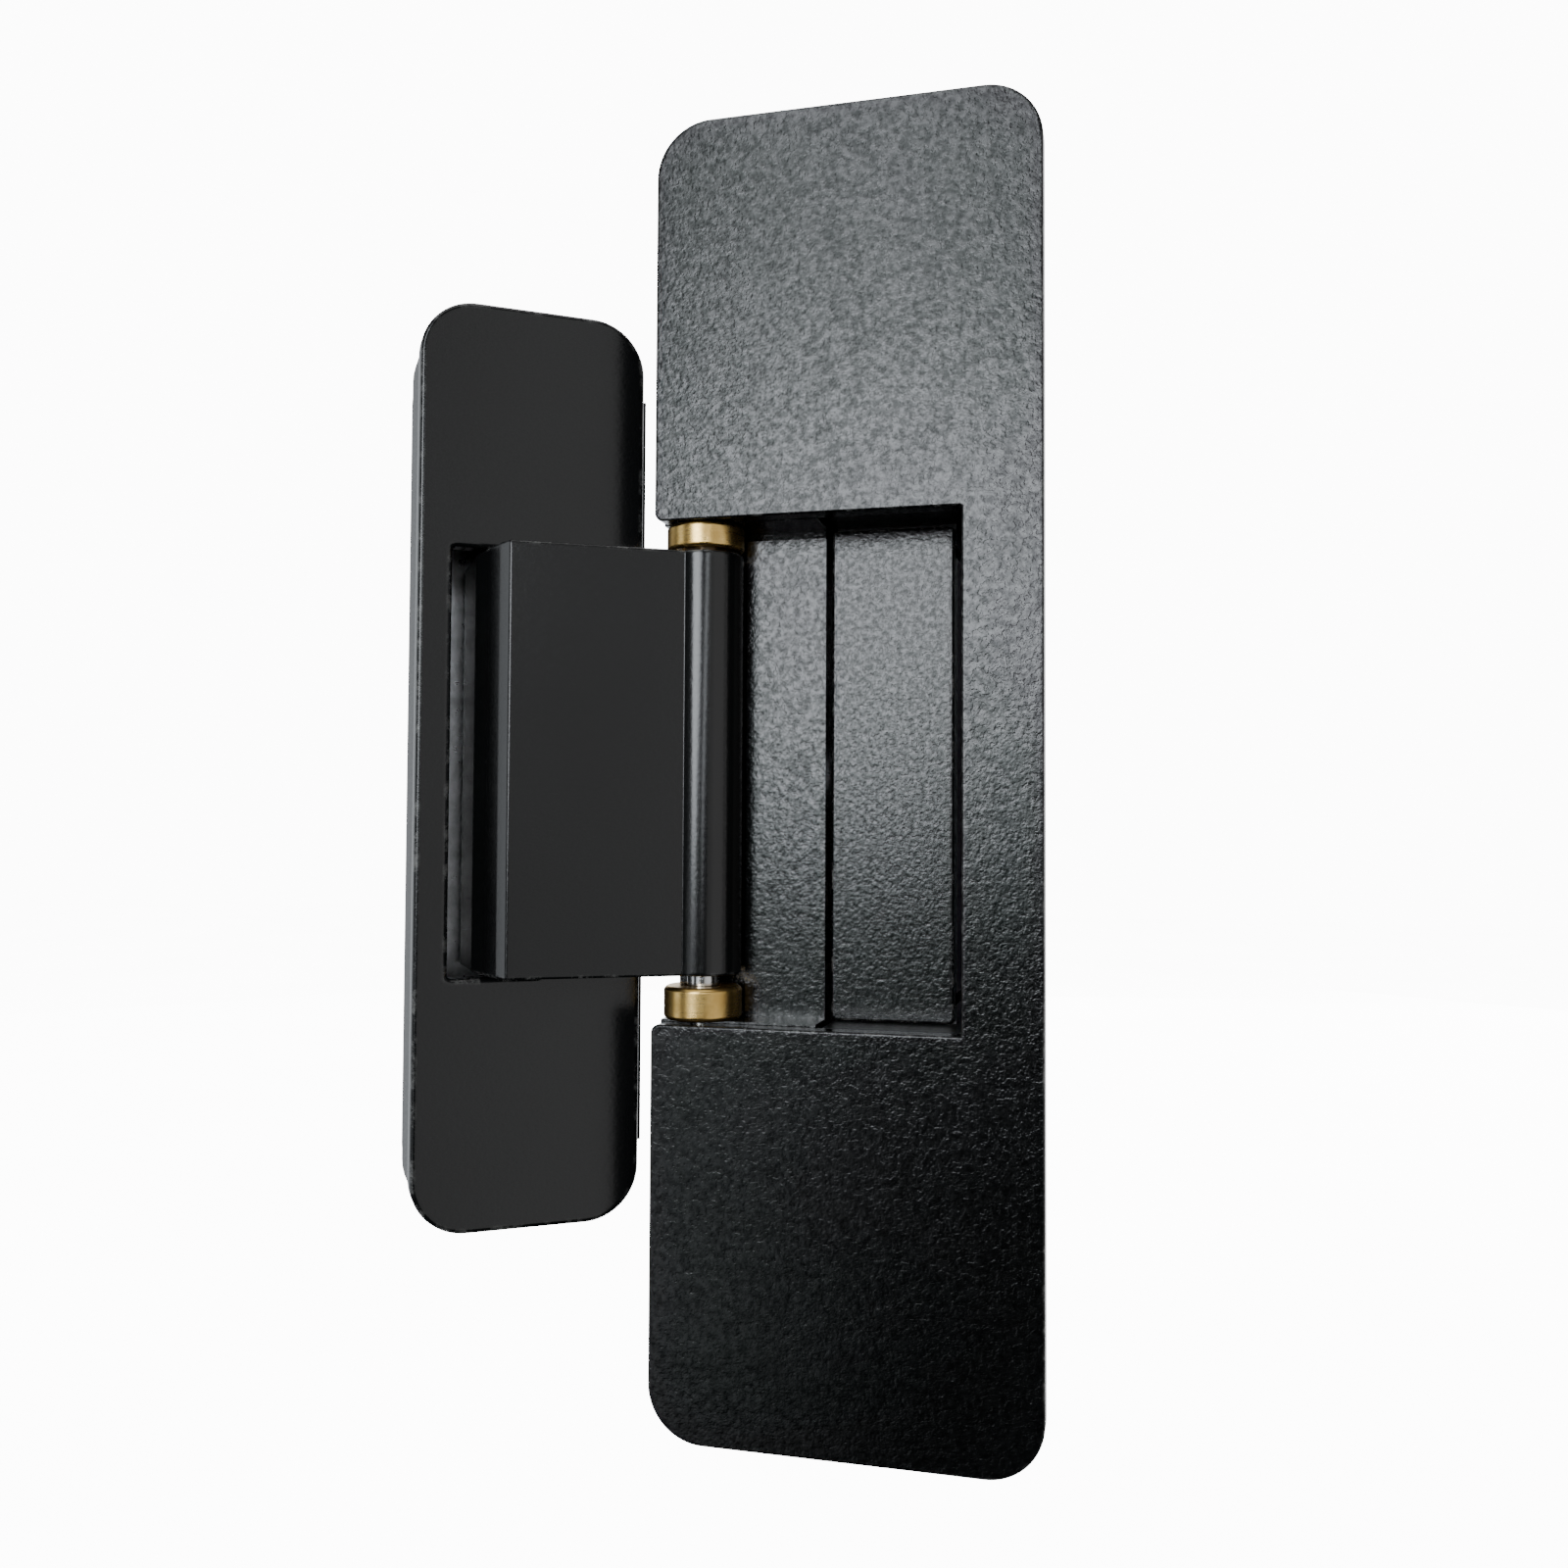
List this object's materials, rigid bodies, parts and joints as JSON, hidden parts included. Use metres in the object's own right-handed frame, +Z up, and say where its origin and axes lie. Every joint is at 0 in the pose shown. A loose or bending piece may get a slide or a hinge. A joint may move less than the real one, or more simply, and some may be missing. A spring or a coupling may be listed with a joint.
{
  "type": "concealed door hinge",
  "caption": "Adjustable concealed door hinge: a large door leaf and a smaller frame leaf joined by a gooseneck arm on one pin with brass washers, shown part open.",
  "frame": {"origin": "centre of the flat back of the door leaf's body", "axes": "+Y into the door, away from the door leaf's face; +Z up along the pin; +X along the door leaf's width, away from the pin"},
  "size_m": [0.0872, 0.0372, 0.16],
  "materials": {
    "door_coat": "black textured powder coat",
    "frame_coat": "fine smooth black powder coat",
    "body_coat": "black painted zinc casting",
    "washer_brass": "turned brass",
    "pin_steel": "ground steel",
    "screw_steel": "zinc plated steel",
    "spring_steel": "spring steel"
  },
  "bodies": {
    "door_leaf": {"door_body": "body_coat", "door_cover_plate": "door_coat", "door_cover_clip_upper": "spring_steel", "door_cover_clip_lower": "spring_steel", "recess_insert": "door_coat", "upper_carriage_screw": "screw_steel", "lower_carriage_screw": "screw_steel"},
    "carriage": {"pin_carriage": "door_coat", "knuckle_pin": "pin_steel", "upper_thrust_washer": "washer_brass", "lower_thrust_washer": "washer_brass", "upper_pin_set_screw": "screw_steel", "lower_pin_set_screw": "screw_steel"},
    "side_cam": {"side_adjust_cam": "screw_steel"},
    "arm": {"gooseneck_arm": "frame_coat", "upper_barrel_bush": "washer_brass", "lower_barrel_bush": "washer_brass", "upper_clamp_screw": "screw_steel", "lower_clamp_screw": "screw_steel"},
    "tray": {"arm_tray": "screw_steel"},
    "depth_screw": {"depth_adjust_screw": "screw_steel", "depth_screw_circlip": "spring_steel"},
    "frame_leaf": {"frame_body": "body_coat", "frame_cover_plate": "frame_coat", "frame_cover_clip_upper": "spring_steel", "frame_cover_clip_lower": "spring_steel", "upper_tray_keeper": "screw_steel", "lower_tray_keeper": "screw_steel", "upper_far_keeper_screw": "screw_steel", "upper_near_keeper_screw": "screw_steel", "lower_far_keeper_screw": "screw_steel", "lower_near_keeper_screw": "screw_steel"},
    "height_cam": {"height_adjust_cam": "screw_steel"}
  },
  "joints": [
    {"name": "side_adjust", "type": "slide", "parent": "door_leaf", "child": "carriage", "axis": [1, 0, 0], "range_m": [-0.001, 0.0005]},
    {"name": "side_cam_turn", "type": "hinge", "parent": "door_leaf", "child": "side_cam", "pos_m": [0.002, -0.01, 0], "axis": [0, 1, 0], "range_deg": [-38.2, 19.1]},
    {"name": "arm_pivot", "type": "hinge", "parent": "carriage", "child": "arm", "pos_m": [-0.0184, -0.019, 0], "axis": [0, 0, 1], "range_deg": [-33, 145.2]},
    {"name": "depth_adjust", "type": "slide", "parent": "arm", "child": "tray", "axis": [-0.5707, 0.8211, 0], "range_m": [-0.001, 0.001]},
    {"name": "depth_screw_turn", "type": "hinge", "parent": "tray", "child": "depth_screw", "pos_m": [-0.04344, -0.01205, 0.0011], "axis": [-0.5707, 0.8211, 0], "range_deg": [-360, 360]},
    {"name": "height_adjust", "type": "slide", "parent": "tray", "child": "frame_leaf", "axis": [0, 0, 1], "range_m": [-0.0005, 0.0005]},
    {"name": "height_cam_turn", "type": "hinge", "parent": "frame_leaf", "child": "height_cam", "pos_m": [-0.04735, -0.01233, 0.0331], "axis": [-0.5707, 0.8211, 0], "range_deg": [-23.9, 23.9]}
  ],
  "couplings": [
    {"joint": "side_cam_turn", "follows": "side_adjust", "rad_per_m": 666.67},
    {"joint": "depth_screw_turn", "follows": "depth_adjust", "rad_per_m": 6283.2},
    {"joint": "height_cam_turn", "follows": "height_adjust", "rad_per_m": -833.33}
  ]
}
